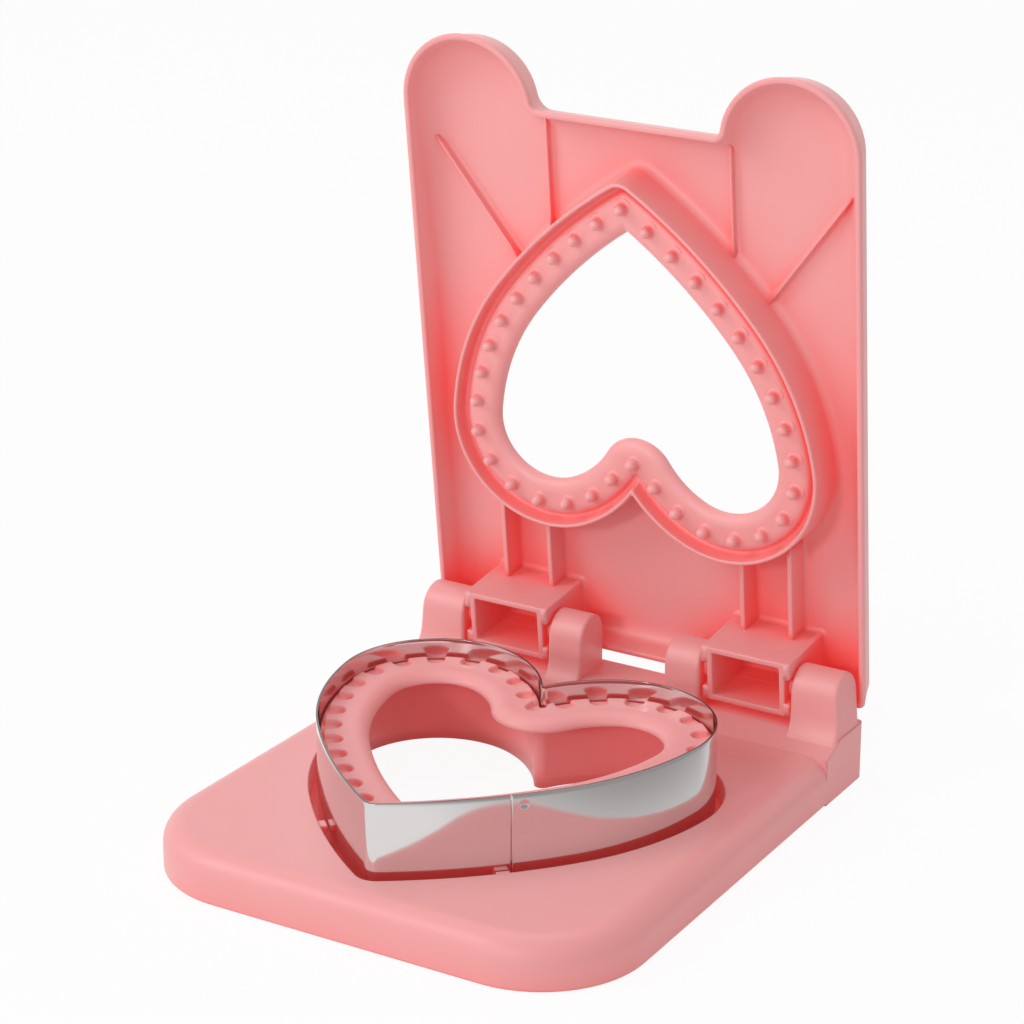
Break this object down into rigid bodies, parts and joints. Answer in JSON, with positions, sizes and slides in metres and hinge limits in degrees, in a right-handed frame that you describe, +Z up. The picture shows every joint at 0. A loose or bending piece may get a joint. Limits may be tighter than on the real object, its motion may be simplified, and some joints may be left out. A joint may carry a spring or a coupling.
{
  "type": "hinged sandwich cutter and sealer",
  "caption": "Hinged heart-shaped sandwich cutter and sealer: tray with steel cutter band and notched ring, eared lid with studded press ring.",
  "frame": {"origin": "centre of the whole part's footprint, on the surface that the tray stands on", "axes": "+Z up, +Y towards the hinge, +X to the right as seen from the front; the hinge runs along X"},
  "size_m": [0.1178, 0.1404, 0.1675],
  "materials": {
    "pink_plastic": "satin",
    "polished_steel": "polished"
  },
  "bodies": {
    "base": {"base_tray": "pink_plastic", "cutter_band": "polished_steel", "seal_ring": "pink_plastic"},
    "lid": {"lid": "pink_plastic"}
  },
  "joints": [
    {"name": "lid_hinge", "type": "hinge", "parent": "base", "child": "lid", "pos_m": [0, 0.05479, 0.023], "axis": [1, 0, 0], "range_deg": [-8, 83.8]}
  ]
}
